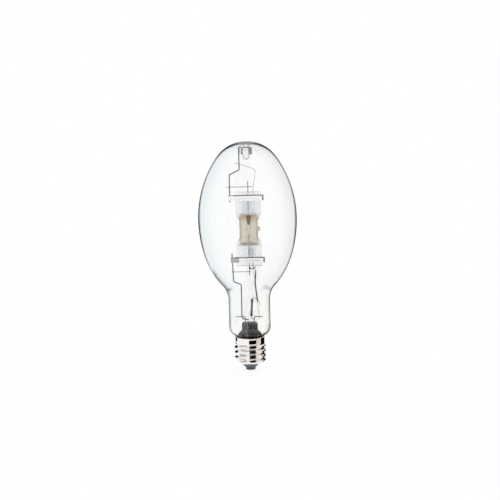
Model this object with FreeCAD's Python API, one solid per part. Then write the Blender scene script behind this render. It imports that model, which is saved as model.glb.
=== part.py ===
import FreeCAD, Part
import math
import os

os.makedirs("parts", exist_ok=True)

# Metal halide lamp, base down: millimetres, +Z up the axis, origin on the face of the centre contact

# Fits
seat_gap = 0.02
weld_gap = 0.02
clip_gap = 0.05

# Screw cap, size E39, rolled from thin brass
cap_height = 42.0
thread_major_d = 39.4
thread_depth = 1.8
thread_pitch = 6.35
collar_d = 36.8
collar_least = 5.0
shell_wall = 0.7
dome_z = 8.2
dome_rise = 2.4
dome_width = 6.8
dome_step = 3.5
thread_runout = 0.3
dome_hole_d = 20.8

# Insulator, centre contact and solder
contact_d = 12.4
contact_height = 2.4
contact_edge = 0.8
insulator_rise = 1.8
insulator_ledge = 1.5
insulator_bore_d = 2.0
contact_hole_d = 3.0
solder_inset = 0.2
solder_top_z = 1.8
side_solder_d = 3.4
shell_lead_rise = 0.6

# Outer bulb, clear glass
bulb_wall = 1.1
skirt_d = 32.4
skirt_depth = 6.0
neck_d = 51.6
shoulder_inner_r = 2.0
shoulder_outer_r = 11.0
neck_fillet_r = 28.0
bulb_d = 122.2
equator_z = 191.0
lower_half = 98.8
upper_half = 96.2
crown_r = 44.7
dimple_d = 6.6
dimple_lip_r = 6.0
dimple_depth = 22.0

# Glass stem with its press and exhaust tube
stem_wall = 1.2
stem_height = 24.0
stem_tube_d = 20.0
stem_gap = 0.1
flare_rim = 1.2
flare_rise = 6.5
flare_inner_r = 4.0
flare_outer_r = 7.0
press_height = 10.0
press_thickness = 8.0
press_taper = 7.0
press_corner = 4.2
exhaust_d = 6.0
exhaust_bore_d = 3.2
exhaust_length = 26.0
exhaust_hole_d = 2.4

# Lead wires
lead_in_d = 1.0
lead_in_span = 11.0
left_lead_rise = 7.3
left_lead_reach = 17.0
right_lead_rise = 6.9
right_lead_reach = 16.1
centre_lead_d = 0.8
shell_lead_d = 0.5
wire_bend = 1.6
lead_gather = 2.0

# Arc tube, clear quartz, pressed flat at both ends, a little off the axis in its straps
light_drop = 13.0
tube_x = 1.3
tube_d = 23.0
quartz_wall = 1.4
press_start = 8.0
press_end = 21.5
seal_width = 31.6
seal_thickness = 5.0
seal_corner = 1.2
seal_end = 46.3
seal_groove_x = 10.7
seal_groove_width = 5.8
seal_groove_depth = 0.5
tip_off_d = 5.0
tip_off_reach = 16.2

# Electrodes and what is sealed in with them
electrode_d = 1.1
electrode_tip = 6.5
electrode_root = 23.0
coil_turns = 6
coil_wire_d = 0.85
coil_start = 7.6
foil_width = 3.0
foil_thickness = 0.2
foil_end = 34.5
outer_lead_d = 1.0
upper_lead_end = 60.0
lower_lead_end = 58.8
probe_x = 4.2
probe_d = 0.6
probe_tip = 17.0
probe_root = 25.0
probe_foil_width = 2.0

# Frame rods, straps and crosswires that carry the arc tube
rod_d = 1.5
rod_bend = 2.4
strap_offset = 39.0
strap_height = 6.5
strap_metal = 0.5
strap_play = 0.3
upper_tab = 6.4
lower_tab = 4.7
right_tab = 0.5
rod_on_tab = 0.64
bead_width = 2.6
bead_rise = 0.45
upper_rod_tail = 2.2
upper_rod_slope = 5.9
upper_rod_drop = 19.2
upper_rod_hook = 2.6
lower_rod_tail = 5.0
lower_rod_lean = 1.3
lower_rod_drop = 27.5
lower_rod_slope = 3.7
lower_rod_reach = 9.6
lower_rod_foot = 1.2
crosswire_d = 0.8
upper_crosswire_rise = 52.7
upper_crosswire_left = 4.1
upper_crosswire_right = 7.1
lower_crosswire_drop = 53.8
lower_crosswire_left = 2.0
lower_crosswire_right = 2.3

# Return lead
return_lead_d = 0.5
return_lead_bend = 6.0
return_overhang = 6.6
return_start_drop = 10.7
return_knee_x = 11.4
return_knee_drop = 19.1
return_bow = 30.0
return_foot_x = 12.0
return_weld = 3.0

# Clip on the dimple
clip_metal = 0.5
clip_height = 8.8
clip_drop = 16.3
clip_ears = 2.6
clip_tab_reach = 9.7

# Starting circuit
probe_lead_d = 0.8
probe_lead_drop = 2.2
probe_lead_step = 3.1
splice_d = 1.6
splice_length = 3.0
splice_drop = 6.7
ribbon_width = 1.8
ribbon_thickness = 0.4
ribbon_bend_drop = 12.3
ribbon_foot_x = 10.4
ribbon_foot_drop = 3.5
resistor_d = 2.6
resistor_length = 21.5
resistor_top_x = 3.6
resistor_foot_x = 2.1
resistor_foot_rise = 7.9
resistor_cap_d = 3.0
resistor_cap_length = 2.5
resistor_lead_d = 0.7
resistor_lead_bend = 1.2
resistor_lead_run = 1.9
upper_lead_x = 13.2
upper_lead_drop = 7.9
lower_lead_x = 6.6
lower_lead_drop = 4.0
collar_wall = 0.4
bimetal_height = 2.5
bimetal_thickness = 0.4
bimetal_gap = 0.05
bimetal_reach = 7.9
bimetal_rest = 20.0

# Sizes that follow
major_r = thread_major_d / 2
minor_r = major_r - thread_depth
knuckle_r = ((thread_pitch / 4) ** 2 + (thread_depth / 2) ** 2) / thread_depth
knuckle_turn = math.degrees(math.asin(thread_pitch / 4 / knuckle_r))
dome_rim_z = dome_z + dome_rise
thread_crest_z = dome_rim_z + dome_step
thread_room = cap_height - collar_least - thread_crest_z - thread_pitch / 4 - thread_runout
thread_crests = int(thread_room / thread_pitch) + 1
thread_top_z = thread_crest_z + (thread_crests - 1) * thread_pitch + thread_pitch / 4 + thread_runout
collar_r = collar_d / 2
dome_hole_r = dome_hole_d / 2
dome_r = (dome_width ** 2 + dome_rise ** 2) / (2 * dome_rise)
dome_turn = math.degrees(math.atan2(dome_width, dome_r - dome_rise))
insulator_top_z = dome_rim_z + insulator_rise
contact_r = contact_d / 2
skirt_r = skirt_d / 2
skirt_foot_z = cap_height - skirt_depth
bulb_r = bulb_d / 2
neck_r = neck_d / 2
dimple_r = dimple_d / 2
crown_top_z = equator_z + upper_half
crown_z = crown_top_z - crown_r
light_z = equator_z - light_drop
press_top_z = skirt_foot_z + stem_height
press_foot_z = press_top_z - press_height
stem_r = stem_tube_d / 2
exhaust_r = exhaust_d / 2
exhaust_tip_z = press_foot_z - exhaust_length
lead_in_r = lead_in_d / 2
lead_in_x = lead_in_span / 2
tube_r = tube_d / 2
chamber_r = tube_r - quartz_wall
seal_x = seal_width / 2
seal_y = seal_thickness / 2
rod_r = rod_d / 2
rod_y = lead_in_r + rod_r + weld_gap
crosswire_r = crosswire_d / 2
outer_lead_r = outer_lead_d / 2
return_lead_r = return_lead_d / 2
strap_corner_x = seal_x + strap_play
strap_root_x = strap_corner_x + seal_y
clip_r = dimple_r + bulb_wall + clip_gap
clip_foot_z = crown_top_z - clip_drop
upper_rod_x = tube_x - strap_root_x - upper_tab * rod_on_tab
lower_rod_x = tube_x - strap_root_x - lower_tab * rod_on_tab


def point(x, y, z):
    return FreeCAD.Vector(x, y, z)


def save(name, shape):
    """Writes one piece, after a check that it is one sound solid."""
    if shape.ShapeType != "Solid":
        shape = shape.Solids[0] if len(shape.Solids) == 1 else shape
    if len(shape.Solids) != 1 or not shape.isValid():
        raise ValueError(name + " is not one sound solid")
    shape.exportStep("parts/" + name + ".step")
    return shape


class Outline:
    """A closed profile of straight runs and arcs in the r-z half plane."""

    def __init__(self, r, z):
        self.start = (r, z)
        self.here = (r, z)
        self.edges = []

    def line(self, r, z):
        if math.dist(self.here, (r, z)) > 1e-6:
            run = Part.LineSegment(point(self.here[0], 0, self.here[1]), point(r, 0, z))
            self.edges.append(run.toShape())
        self.here = (r, z)
        return self

    def arc(self, centre_r, centre_z, radius, start, end):
        """An arc given by its centre and the angles of its two ends, in degrees."""
        spots = []
        for angle in (start, (start + end) / 2, end):
            turn = math.radians(angle)
            spots.append((centre_r + radius * math.cos(turn), centre_z + radius * math.sin(turn)))
        self.line(*spots[0])
        curve = Part.Arc(*[point(r, 0, z) for r, z in spots])
        self.edges.append(curve.toShape())
        self.here = spots[2]
        return self

    def curve(self, edge, r, z):
        self.edges.append(edge)
        self.here = (r, z)
        return self

    def revolve(self):
        self.line(*self.start)
        face = Part.Face(Part.Wire(self.edges))
        return face.revolve(point(0, 0, 0), point(0, 0, 1), 360)

    def extrude(self, length):
        """A slab along Y, half of it on each side of the profile's plane."""
        self.line(*self.start)
        face = Part.Face(Part.Wire(self.edges))
        slab = face.extrude(point(0, length, 0))
        slab.translate(point(0, -length / 2, 0))
        return slab


def ring(inner_r, outer_r, foot_z, top_z):
    """A tube or, with no inner radius, a rod about the lamp's axis."""
    body = Part.makeCylinder(outer_r, top_z - foot_z, point(0, 0, foot_z))
    if inner_r > 0:
        body = body.cut(Part.makeCylinder(inner_r, top_z - foot_z, point(0, 0, foot_z)))
    return body


def bent_path(points, bend):
    """Straight runs joined by tangent arcs, each arc as large as its runs allow up to the bend."""
    corners = [point(*p) for p in points]
    here = corners[0]
    edges = []
    for before, corner, after in zip(corners, corners[1:], corners[2:]):
        into = (corner - before).normalize()
        out = (after - corner).normalize()
        half = into.getAngle(out) / 2
        reach = min(bend * math.tan(half), 0.45 * (corner - before).Length, 0.45 * (after - corner).Length)
        radius = reach / math.tan(half)
        side = (out - into).normalize()
        start = corner - into * reach
        middle = corner + side * (radius / math.cos(half) - radius)
        end = corner + out * reach
        edges.append(Part.LineSegment(here, start).toShape())
        edges.append(Part.Arc(start, middle, end).toShape())
        here = end
    edges.append(Part.LineSegment(here, corners[-1]).toShape())
    return Part.Wire(edges)


def bent_wire(points, diameter, bend):
    """A round wire along straight runs and tangent bends."""
    path = bent_path(points, bend)
    first = point(*points[1]) - point(*points[0])
    circle = Part.Wire(Part.Circle(point(*points[0]), first, diameter / 2).toShape())
    return path.makePipeShell([circle], True, True)


def strip_face(points, thickness, side):
    """The edge view of folded sheet: a line of folds with the metal on one side of it, mitred."""
    spots = [FreeCAD.Vector(x, y, 0) for x, y in points]
    normals = []
    for a, b in zip(spots, spots[1:]):
        run = (b - a).normalize()
        normals.append(FreeCAD.Vector(-run.y, run.x, 0) * side)
    outer = [spots[0] + normals[0] * thickness]
    for corner, n, m in zip(spots[1:], normals, normals[1:]):
        outer.append(corner + (n + m) * (thickness / (1 + n.dot(m))))
    outer.append(spots[-1] + normals[-1] * thickness)
    return spots + outer[::-1]


def extrude_flat(spots, direction):
    face = Part.Face(Part.makePolygon(spots + [spots[0]]))
    return face.extrude(direction)


# Screw shell: dome, rolled rings with equal arcs for crest and root, plain collar
def shell_body(inset, top_z):
    """The solid inside one face of the shell, moved in by an inset."""
    outline = Outline(0, dome_z + inset)
    outline.arc(dome_hole_r, dome_z + dome_r, dome_r - inset, -90, -90 + dome_turn)
    for crest in range(thread_crests):
        crest_z = thread_crest_z + crest * thread_pitch
        outline.arc(major_r - knuckle_r, crest_z, knuckle_r - inset, -knuckle_turn, knuckle_turn)
        if crest < thread_crests - 1:
            root_z = crest_z + thread_pitch / 2
            root_r = knuckle_r + inset
            outline.arc(minor_r + knuckle_r, root_z, root_r, 180 + knuckle_turn, 180 - knuckle_turn)
    outline.line(collar_r - inset, thread_top_z)
    outline.line(collar_r - inset, top_z)
    outline.line(0, top_z)
    return outline.revolve()


screw_shell = shell_body(0, cap_height).cut(shell_body(shell_wall, cap_height + 1))
screw_shell = screw_shell.cut(ring(0, dome_hole_r, dome_z - 1, dome_z + dome_rise))
save("screw_shell", screw_shell)

# Insulator: a cone below the shell, a neck through its hole and a bowl in its dome
neck_r_in_hole = dome_hole_r - seat_gap
bowl_inset = shell_wall + seat_gap
insulator = Outline(0, contact_height)
insulator.line(contact_r, contact_height)
insulator.line(dome_hole_r + insulator_ledge, dome_z - seat_gap)
insulator.line(neck_r_in_hole, dome_z - seat_gap)
insulator.line(neck_r_in_hole, dome_z + bowl_inset)
insulator.arc(dome_hole_r, dome_z + dome_r, dome_r - bowl_inset, -90, -90 + dome_turn)
insulator.line(insulator.here[0], insulator_top_z)
insulator.line(0, insulator_top_z)
base_insulator = insulator.revolve().cut(ring(0, insulator_bore_d / 2, 0, insulator_top_z + 1))
save("base_insulator", base_insulator)

contact = ring(0, contact_r, 0, contact_height)
low_edges = [e for e in contact.Edges if e.BoundBox.ZMax < 0.01 and e.Length > contact_r]
contact = contact.makeFillet(min(contact_edge, contact_height * 0.45), low_edges)
contact = contact.cut(Part.makeCylinder(contact_hole_d / 2, contact_height + 2, point(0, 0, -1)))
save("centre_contact", contact)

solder_r = contact_hole_d / 2 - seat_gap
save("contact_solder", ring(0, solder_r, solder_inset, solder_top_z))


# Outer bulb: one outline serves both faces of the glass, moved in by an inset
def oval_touch(half_width, half_height, fillet, across):
    """Angle on the oval where a hollow fillet of the neck line touches it."""
    low = -math.pi / 2 + 0.02
    high = -0.1
    for step in range(60):
        turn = (low + high) / 2
        nr = math.cos(turn) / half_width
        nz = math.sin(turn) / half_height
        reach = half_width * math.cos(turn) + fillet * nr / math.hypot(nr, nz)
        if reach < across:
            low = turn
        else:
            high = turn
    return turn, nr / math.hypot(nr, nz), nz / math.hypot(nr, nz)


def bulb_body(inset, foot_z):
    """The solid inside one face of the bulb's glass."""
    skirt = skirt_r - inset
    neck = neck_r - inset
    hollow_r = shoulder_inner_r + inset
    round_r = shoulder_outer_r - inset
    turn = math.degrees(math.acos(1 - (neck - skirt) / (hollow_r + round_r)))
    shoulder_top_z = cap_height + (hollow_r + round_r) * math.sin(math.radians(turn))
    wide = bulb_r - inset
    deep = lower_half - inset
    fillet = neck_fillet_r + inset
    touch, nr, nz = oval_touch(wide, deep, fillet, neck + fillet)
    fillet_z = equator_z + deep * math.sin(touch) + fillet * nz
    crown = crown_r - inset
    rise = crown_z - equator_z
    side_r = (wide ** 2 + rise ** 2 - crown ** 2) / (2 * (wide - crown))
    side_turn = math.degrees(math.atan2(rise, side_r - wide))
    lip = dimple_lip_r - inset
    well = dimple_r + inset
    lip_z = crown_z + math.sqrt((crown - lip) ** 2 - (well + lip) ** 2)
    lip_turn = math.degrees(math.atan2(lip_z - crown_z, well + lip))
    well_z = crown_top_z - dimple_depth + dimple_r
    oval = Part.Ellipse(point(0, 0, deep), point(wide, 0, 0), point(0, 0, 0))
    oval.translate(point(0, 0, equator_z))
    outline = Outline(0, foot_z)
    outline.line(skirt, foot_z)
    outline.line(skirt, cap_height)
    outline.arc(skirt + hollow_r, cap_height, hollow_r, 180, 180 - turn)
    outline.arc(neck - round_r, shoulder_top_z, round_r, -turn, 0)
    outline.line(neck, fillet_z)
    outline.arc(neck + fillet, fillet_z, fillet, 180, 180 - math.degrees(math.atan2(-nz, nr)))
    here = point(outline.here[0], 0, outline.here[1])
    there = point(wide, 0, equator_z)
    spots = [oval.parameter(here), oval.parameter(there)]
    piece = Part.ArcOfEllipse(oval, min(spots), max(spots))
    outline.curve(piece.toShape(), wide, equator_z)
    outline.arc(wide - side_r, equator_z, side_r, 0, side_turn)
    outline.arc(0, crown_z, crown, side_turn, lip_turn)
    outline.arc(well + lip, lip_z, lip, lip_turn, 180)
    outline.line(well, well_z)
    outline.arc(0, well_z, well, 0, -90)
    return outline.revolve()


outer_bulb = bulb_body(0, skirt_foot_z).cut(bulb_body(bulb_wall, skirt_foot_z - 1))
save("outer_bulb", outer_bulb)


# Lead wires of the stem and the cap
left_lead_z = press_top_z + left_lead_rise
right_lead_z = press_top_z + right_lead_rise
left_lead_in = bent_wire(
    [
        (-lead_in_x, 0, press_foot_z),
        (-lead_in_x, 0, left_lead_z),
        (-left_lead_reach, 0, left_lead_z),
    ],
    lead_in_d,
    wire_bend,
)
right_lead_in = bent_wire(
    [
        (lead_in_x, 0, press_foot_z),
        (lead_in_x, 0, right_lead_z),
        (right_lead_reach, 0, right_lead_z),
    ],
    lead_in_d,
    wire_bend,
)
save("left_lead_in", left_lead_in)
save("right_lead_in", right_lead_in)

centre_lead = bent_wire(
    [
        (lead_in_x, 0, press_foot_z),
        (lead_in_x, 0, exhaust_tip_z - lead_gather),
        (0, 0, insulator_top_z + 3),
        (0, 0, solder_top_z),
    ],
    centre_lead_d,
    wire_bend,
)
save("centre_lead", centre_lead)

shell_lead_y = (skirt_r + collar_r - shell_wall) / 2
shell_lead_z = thread_top_z - thread_pitch * 0.55
shell_lead = bent_wire(
    [
        (-lead_in_x, 0, press_foot_z),
        (-lead_in_x, 0, shell_lead_z),
        (0, shell_lead_y, shell_lead_z),
        (0, shell_lead_y, cap_height + shell_lead_rise),
    ],
    shell_lead_d,
    wire_bend,
)
save("shell_lead", shell_lead)

# Cement ring between the shell's collar and the bulb's skirt
cement_foot_z = thread_top_z + thread_runout
cement = ring(skirt_r + seat_gap, collar_r - shell_wall - seat_gap, cement_foot_z, cap_height)
lead_slot_r = shell_lead_d / 2 + seat_gap
lead_slot_length = cap_height - cement_foot_z + 2
lead_slot = Part.makeCylinder(lead_slot_r, lead_slot_length, point(0, shell_lead_y, cement_foot_z - 1))
cement = cement.cut(lead_slot)
save("base_cement", cement)

# Solder that joins the side wire to the rim of the shell
solder_spot = point(0, collar_r - shell_wall / 2, cap_height)
side_solder = Part.makeSphere(side_solder_d / 2, solder_spot)
side_solder = side_solder.cut(ring(0, 2 * collar_r, 0, cap_height))
side_solder = side_solder.cut(bulb_body(-seat_gap, skirt_foot_z))
lead_end = Part.makeCylinder(lead_slot_r, shell_lead_rise + seat_gap, point(0, shell_lead_y, cap_height))
side_solder = side_solder.cut(lead_end)
save("side_solder", side_solder)


# Stem: rim, flare, tube and flat press drawn from one piece of tube glass
def rounded_section(half_x, half_y, corner, z):
    """A closed level section of four sides and four round corners."""
    a = half_x - corner
    b = half_y - corner
    c = corner * math.sqrt(0.5)
    edges = []
    signs = [(1, 1), (-1, 1), (-1, -1), (1, -1)]
    spots = []
    for sx, sy in signs:
        first = point(sx * half_x, sy * b, z)
        middle = point(sx * (a + c), sy * (b + c), z)
        last = point(sx * a, sy * half_y, z)
        if sx * sy < 0:
            first, last = last, first
        spots.append((first, middle, last))
    for index in range(4):
        first, middle, last = spots[index]
        edges.append(Part.Arc(first, middle, last).toShape())
        following = spots[(index + 1) % 4][0]
        edges.append(Part.LineSegment(last, following).toShape())
    return Part.Wire(edges)


def lofted(sections):
    """A smooth solid through sections given as half width, half depth, corner and height."""
    wires = [rounded_section(*s) for s in sections]
    return Part.makeLoft(wires, True, False)


def stem_side(inset, top_z):
    """The flare and tube of the stem, with the rim that closes the bulb's skirt."""
    wide = skirt_r - bulb_wall - stem_gap - inset
    tube = stem_r - inset
    hollow_r = flare_inner_r + inset
    round_r = flare_outer_r - inset
    turn = math.degrees(math.acos(1 - (wide - tube) / (hollow_r + round_r)))
    low_z = skirt_foot_z + flare_rise
    high_z = low_z + (hollow_r + round_r) * math.sin(math.radians(turn))
    outline = Outline(0, skirt_foot_z - flare_rim - inset)
    if inset == 0:
        outline.line(skirt_r, skirt_foot_z - flare_rim)
        outline.line(skirt_r, skirt_foot_z)
        outline.line(wide, skirt_foot_z)
    outline.line(wide, outline.here[1])
    outline.line(wide, low_z)
    outline.arc(wide - round_r, low_z, round_r, 0, turn)
    outline.arc(tube + hollow_r, high_z, hollow_r, 180 + turn, 180)
    outline.line(tube, top_z)
    outline.line(0, top_z)
    return outline.revolve()


def press_slab(half, foot_z, top_z, wide):
    """A slab along X that narrows to the press in two tangent arcs on each side."""
    edge = stem_r + 0.4
    bend = edge - half
    turn = 2 * math.atan2(bend, press_taper)
    arc_r = bend / (2 * (1 - math.cos(turn)))
    turn = math.degrees(turn)
    high_z = foot_z + press_taper
    outline = Outline(-wide, 0)
    outline.line(wide, 0)
    outline.line(wide, foot_z)
    outline.arc(edge - arc_r, foot_z, arc_r, 0, turn)
    outline.arc(half + arc_r, high_z, arc_r, 180 + turn, 180)
    outline.line(half, top_z)
    outline.line(-half, top_z)
    outline.arc(-half - arc_r, high_z, arc_r, 0, -turn)
    outline.arc(arc_r - edge, foot_z, arc_r, 180 - turn, 180)
    outline.line(-wide, foot_z)
    slab = outline.extrude(4 * wide)
    slab.rotate(point(0, 0, 0), point(0, 0, 1), 90)
    return slab


def press_arch(wide):
    """A slab along Y whose top corners are round, as the press leaves them."""
    low_z = press_top_z - press_corner
    edge = stem_r + 0.4
    outline = Outline(-wide, 0)
    outline.line(wide, 0)
    outline.line(wide, press_foot_z)
    outline.line(edge, press_foot_z)
    outline.arc(edge - press_corner, low_z, press_corner, 0, 90)
    outline.arc(press_corner - edge, low_z, press_corner, 90, 180)
    outline.line(-edge, press_foot_z)
    outline.line(-wide, press_foot_z)
    return outline.extrude(4 * wide)


press_y = press_thickness / 2
stem = stem_side(0, press_top_z + 1)
stem = stem.common(press_slab(press_y, press_foot_z - 1, press_top_z + 2, skirt_r + 1))
stem = stem.common(press_arch(skirt_r + 1))
pocket_top_z = press_foot_z + press_height * 0.45
pocket = stem_side(stem_wall, pocket_top_z)
pocket = pocket.common(press_slab(stem_wall / 2, press_foot_z - 2.5, pocket_top_z + 5, skirt_r + 1))
stem = stem.cut(pocket)
exhaust = ring(0, exhaust_r, exhaust_tip_z, pocket_top_z + 1)
tip_edges = [e for e in exhaust.Edges if e.BoundBox.ZMax < exhaust_tip_z + 0.01]
exhaust = exhaust.makeFillet(exhaust_r * 0.8, tip_edges)
stem = stem.fuse(exhaust)
bore_foot_z = exhaust_tip_z + 2 * stem_wall
bore_top_z = press_foot_z + press_height * 0.75
stem = stem.cut(ring(0, exhaust_bore_d / 2, bore_foot_z, bore_top_z))
vent_z = bore_top_z - exhaust_hole_d / 2 - 0.2
stem = stem.cut(Part.makeCylinder(exhaust_hole_d / 2, stem_r, point(0, 0, vent_z), point(0, 1, 0)))
for lead in (left_lead_in, right_lead_in):
    stem = stem.cut(lead)
save("stem", stem)


# Arc tube: a round body pressed to a flat seal at each end
press_width_share = [0.0, 0.05, 0.42, 0.79, 0.98, 1.0]
press_depth_share = [0.0, 0.02, 0.16, 0.59, 0.92, 1.0]
press_height_share = [0.0, 0.24, 0.45, 0.67, 0.86, 1.0]
chamber_width_share = [0.0, 0.02, 0.14, 0.04, -0.06]


def press_sections(up):
    """Outer sections from the round body to the seal, towards one end."""
    sections = []
    for w, d, h in zip(press_width_share, press_depth_share, press_height_share):
        half_x = tube_r - 0.15 + (seal_x - tube_r + 0.15) * w
        half_y = tube_r - 0.15 + (seal_y - tube_r + 0.15) * d
        corner = half_y - 0.05 - (seal_y - 0.05 - seal_corner) * d ** 4
        away = press_start + (press_end - press_start) * h
        sections.append((half_x, half_y, corner, light_z + up * away))
    return sections


def chamber_sections(up):
    """Inner sections: the wall stays even until the press closes it."""
    sections = []
    outer = press_sections(up)
    for (x, y, corner, z), w in zip(outer, chamber_width_share):
        half_x = chamber_r - 0.15 + chamber_r * w
        half_y = y - quartz_wall
        sections.append((half_x, half_y, half_y * 0.97, z))
    return sections


def seal_block(up):
    """The flat seal with a shallow groove pressed in each side of both faces."""
    height = seal_end - press_end
    sections = [(seal_x, seal_y, seal_corner, light_z + up * press_end)]
    block = Part.Face(rounded_section(*sections[0])).extrude(point(0, 0, up * height))
    low_z = light_z + up * (press_end + 3)
    high_z = light_z + up * (seal_end - 2.2)
    foot_z = min(low_z, high_z)
    for sx in (-1, 1):
        for sy in (-1, 1):
            left = sx * seal_groove_x - seal_groove_width / 2
            front = sy * (seal_y - seal_groove_depth / 2 + 0.5) - seal_groove_depth / 2 - 0.5
            groove = Part.makeBox(
                seal_groove_width,
                seal_groove_depth + 1,
                abs(high_z - low_z),
                point(left, front, foot_z),
            )
            block = block.cut(groove)
    return block


def rod_up(radius, x, start, end, up):
    """A straight round rod along the axis, measured from the light centre towards one end."""
    low = light_z + up * min(start, end) if up > 0 else light_z - max(start, end)
    return Part.makeCylinder(radius, abs(end - start), point(x, 0, low))


def off_axis(shape):
    """A piece of the arc tube, moved from the lamp's axis to where its straps hold it."""
    moved = shape.copy()
    moved.translate(point(tube_x, 0, 0))
    return moved


def foil_up(x, width, start, end, up):
    low = light_z + up * start if up > 0 else light_z - end
    return Part.makeBox(width, foil_thickness, end - start, point(x - width / 2, -foil_thickness / 2, low))


quartz = ring(0, tube_r, light_z - press_start - 4, light_z + press_start + 4)
quartz = quartz.fuse([lofted(press_sections(1)), lofted(press_sections(-1))])
quartz = quartz.fuse([seal_block(1), seal_block(-1)])
nub = Part.makeCylinder(tip_off_d / 2, tip_off_reach - tip_off_d / 4, point(0, 0, light_z), point(1, 0, 0))
nub_edges = [e for e in nub.Edges if e.BoundBox.XMin > tip_off_reach - tip_off_d / 4 - 0.01]
nub = nub.makeFillet(tip_off_d * 0.3, nub_edges)
quartz = quartz.fuse(nub)
chamber = ring(0, chamber_r, light_z - press_start - 3.4, light_z + press_start + 3.4)
chamber = chamber.fuse([lofted(chamber_sections(1)), lofted(chamber_sections(-1))])
quartz = quartz.cut(chamber)

sealed_in = {}
for up, word, lead_end in ((1, "upper", upper_lead_end), (-1, "lower", lower_lead_end)):
    sealed_in[word + "_electrode"] = rod_up(electrode_d / 2, 0, electrode_tip, electrode_root, up)
    sealed_in[word + "_seal_foil"] = foil_up(0, foil_width, electrode_root, foil_end, up)
    sealed_in[word + "_outer_lead"] = rod_up(outer_lead_r, 0, foil_end, lead_end, up)
sealed_in["starting_probe"] = rod_up(probe_d / 2, probe_x, probe_tip, probe_root, -1)
sealed_in["probe_foil"] = foil_up(probe_x, probe_foil_width, probe_root, foil_end, -1)
probe_lead_x = probe_x + probe_lead_step
probe_lead_z = light_z - seal_end - probe_lead_drop
splice_top_z = light_z - seal_end - splice_drop
probe_lead = bent_wire(
    [
        (probe_x, 0, light_z - foil_end),
        (probe_x, 0, probe_lead_z),
        (probe_lead_x, 0, splice_top_z + 1.2),
        (probe_lead_x, 0, splice_top_z),
    ],
    probe_lead_d,
    wire_bend,
)
sealed_in["probe_lead"] = probe_lead
for name, solid in sealed_in.items():
    quartz = quartz.cut(solid)
    save(name, off_axis(solid))
save("arc_tube", off_axis(quartz))

# Winding on each electrode, its turns as round beads
coil_inner_r = electrode_d / 2 + seat_gap
for up, word in ((1, "upper"), (-1, "lower")):
    foot_z = light_z + up * coil_start
    winding = Outline(coil_inner_r, foot_z)
    for turn in range(coil_turns):
        z = foot_z + up * coil_wire_d * (turn + 0.5)
        winding.arc(coil_inner_r + 0.1, z, coil_wire_d / 2, -90 * up, 90 * up)
    winding.line(coil_inner_r, foot_z + up * coil_wire_d * coil_turns)
    save(word + "_electrode_coil", off_axis(winding.revolve()))


# Straps: two folded leaves clasp each seal and close on a tab at each side
def strap_leaf(centre_z, left_tab, front):
    """One leaf with a raised bead along its flat."""
    line = [
        (-(strap_root_x + left_tab), 0),
        (-strap_root_x, 0),
        (-strap_corner_x, front * seal_y),
        (strap_corner_x, front * seal_y),
        (strap_root_x, 0),
        (strap_root_x + right_tab, 0),
    ]
    spots = strip_face(line, strap_metal, front)
    leaf = extrude_flat(spots, point(0, 0, strap_height))
    leaf.translate(point(0, 0, centre_z - strap_height / 2))
    bead_r = (bead_width ** 2 / 4 + bead_rise ** 2) / (2 * bead_rise)
    face_y = front * (seal_y + strap_metal)
    axis_y = face_y + front * (bead_rise - bead_r)
    length = 2 * (strap_corner_x - 3)
    start = point(-length / 2, axis_y, centre_z)
    near_y = min(face_y - front * strap_metal, face_y + front * bead_rise)
    keep_foot = point(-length / 2, near_y, centre_z - bead_width / 2)
    keep = Part.makeBox(length, bead_rise + strap_metal, bead_width, keep_foot)
    bead = Part.makeCylinder(bead_r, length, start, point(1, 0, 0)).common(keep)
    hollow = Part.makeCylinder(bead_r - strap_metal, length - 1, start + point(0.5, 0, 0), point(1, 0, 0))
    leaf = leaf.fuse(bead)
    leaf = leaf.cut(hollow)
    return leaf.removeSplitter()


for word, up, tab in (("upper", 1, upper_tab), ("lower", -1, lower_tab)):
    strap_z = light_z + up * strap_offset
    save(word + "_strap_front", off_axis(strap_leaf(strap_z, tab, -1)))
    save(word + "_strap_rear", off_axis(strap_leaf(strap_z, tab, 1)))

# Frame rods behind the left tabs
upper_strap_z = light_z + strap_offset
lower_strap_z = light_z - strap_offset
strap_rod_y = strap_metal + rod_r + weld_gap
clip_tab_x = -(clip_tab_reach - rod_r)
lower_rod = bent_wire(
    [
        (lower_rod_x, strap_rod_y, lower_strap_z + strap_height / 2 + lower_rod_tail),
        (lower_rod_x + lower_rod_lean, strap_rod_y, lower_strap_z - lower_rod_drop),
        (-lower_rod_reach, rod_y, lower_strap_z - lower_rod_drop - lower_rod_slope),
        (-lower_rod_reach, rod_y, left_lead_z - lower_rod_slope * 0.75),
        (-lower_rod_foot, rod_y, left_lead_z - lower_rod_slope * 1.25),
    ],
    rod_d,
    rod_bend,
)
save("lower_frame_rod", lower_rod)
upper_rod = bent_wire(
    [
        (upper_rod_x, strap_rod_y, upper_strap_z - strap_height / 2 - upper_rod_tail),
        (upper_rod_x, strap_rod_y, clip_foot_z - upper_rod_drop - upper_rod_slope),
        (clip_tab_x, strap_rod_y, clip_foot_z - upper_rod_drop),
        (clip_tab_x, strap_rod_y, clip_foot_z + clip_height),
        (clip_tab_x + upper_rod_hook, strap_rod_y, clip_foot_z + clip_height + upper_rod_hook * 0.6),
    ],
    rod_d,
    rod_bend,
)
save("upper_frame_rod", upper_rod)

# Clip: a split band round the dimple, its ends folded out to the right, a tab to the rod at the left
clip = ring(clip_r, clip_r + clip_metal, clip_foot_z, clip_foot_z + clip_height)
ears = Part.makeBox(
    clip_ears,
    2 * clip_metal,
    clip_height,
    point(clip_r + clip_metal * 0.6, -clip_metal, clip_foot_z),
)
tab_front_y = strap_rod_y - rod_r - weld_gap - clip_metal
tab = Part.makeBox(
    clip_tab_reach - clip_r - clip_metal * 0.5,
    clip_metal,
    clip_height,
    point(-clip_tab_reach, tab_front_y, clip_foot_z),
)
clip = clip.fuse([ears, tab]).removeSplitter()
save("dimple_clip", clip)


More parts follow.
